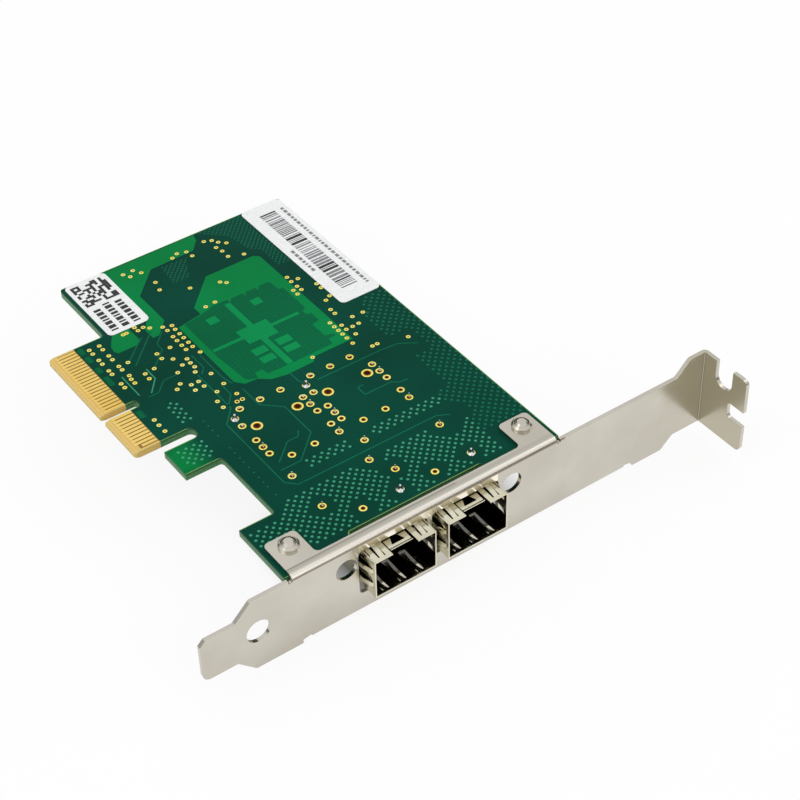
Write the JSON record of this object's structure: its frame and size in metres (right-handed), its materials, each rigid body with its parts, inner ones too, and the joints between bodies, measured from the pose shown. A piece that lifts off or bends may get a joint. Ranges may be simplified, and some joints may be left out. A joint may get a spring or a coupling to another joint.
{
  "type": "network interface card",
  "caption": "Network card on a full-height folded steel bracket, with side-by-side SFP module cages, a notched card edge and a finned heat sink under the board.",
  "frame": {"origin": "middle of the key notch on the tip edge of the card edge, at mid thickness of the board", "axes": "+X away from the slot connector, along the bracket towards its screw flange; +Y from the bracket face into the case; +Z out of the solder side"},
  "size_m": [0.12, 0.113, 0.021],
  "materials": {
    "solder_mask_board": "glossy green solder mask on glass-fibre laminate",
    "gold_contact": "hard gold plating over nickel",
    "bracket_steel": "nickel-plated folded steel sheet",
    "screw_steel": "nickel-plated steel",
    "cage_alloy": "tin-nickel plated copper alloy sheet",
    "connector_plastic": "glass-filled black polymer",
    "package_resin": "matt molded epoxy",
    "substrate_laminate": "package laminate",
    "thermal_compound": "soft thermal pad",
    "heatsink_aluminium": "extruded, clear anodised",
    "crystal_ceramic": "alumina base",
    "crystal_metal": "seam-welded lid",
    "ferrite_grey": "molded iron powder",
    "capacitor_resin": "molded polymer capacitor case",
    "capacitor_ceramic": "barium titanate",
    "resistor_black": "glazed resistor film",
    "tin_plate": "tin plating",
    "label_paper": "coated white label stock"
  },
  "bodies": {
    "root": {"circuit_board": "solder_mask_board", "edge_contacts_solder_side": "gold_contact", "edge_contacts_component_side": "gold_contact", "serial_sticker": "label_paper", "barcode_sticker": "label_paper", "mounting_bracket": "bracket_steel", "bracket_screws": "screw_steel", "cage_cover_left": "cage_alloy", "cage_cover_right": "cage_alloy", "cage_base_left": "cage_alloy", "cage_base_right": "cage_alloy", "host_connector_left": "connector_plastic", "host_connector_right": "connector_plastic", "connector_contacts_left": "gold_contact", "connector_contacts_right": "gold_contact", "controller_substrate": "substrate_laminate", "controller_cap": "package_resin", "thermal_pad": "thermal_compound", "heatsink": "heatsink_aluminium", "flash_memory": "package_resin", "eeprom": "package_resin", "memory_leads": "tin_plate", "crystal_base": "crystal_ceramic", "crystal_lid": "crystal_metal", "voltage_regulators": "package_resin", "regulator_leads": "tin_plate", "power_inductors": "ferrite_grey", "bulk_capacitors": "capacitor_resin", "power_part_terminals": "tin_plate", "ceramic_capacitors": "capacitor_ceramic", "chip_resistors": "resistor_black", "port_filter_inductors": "ferrite_grey", "chip_end_caps": "tin_plate"}
  },
  "joints": []
}
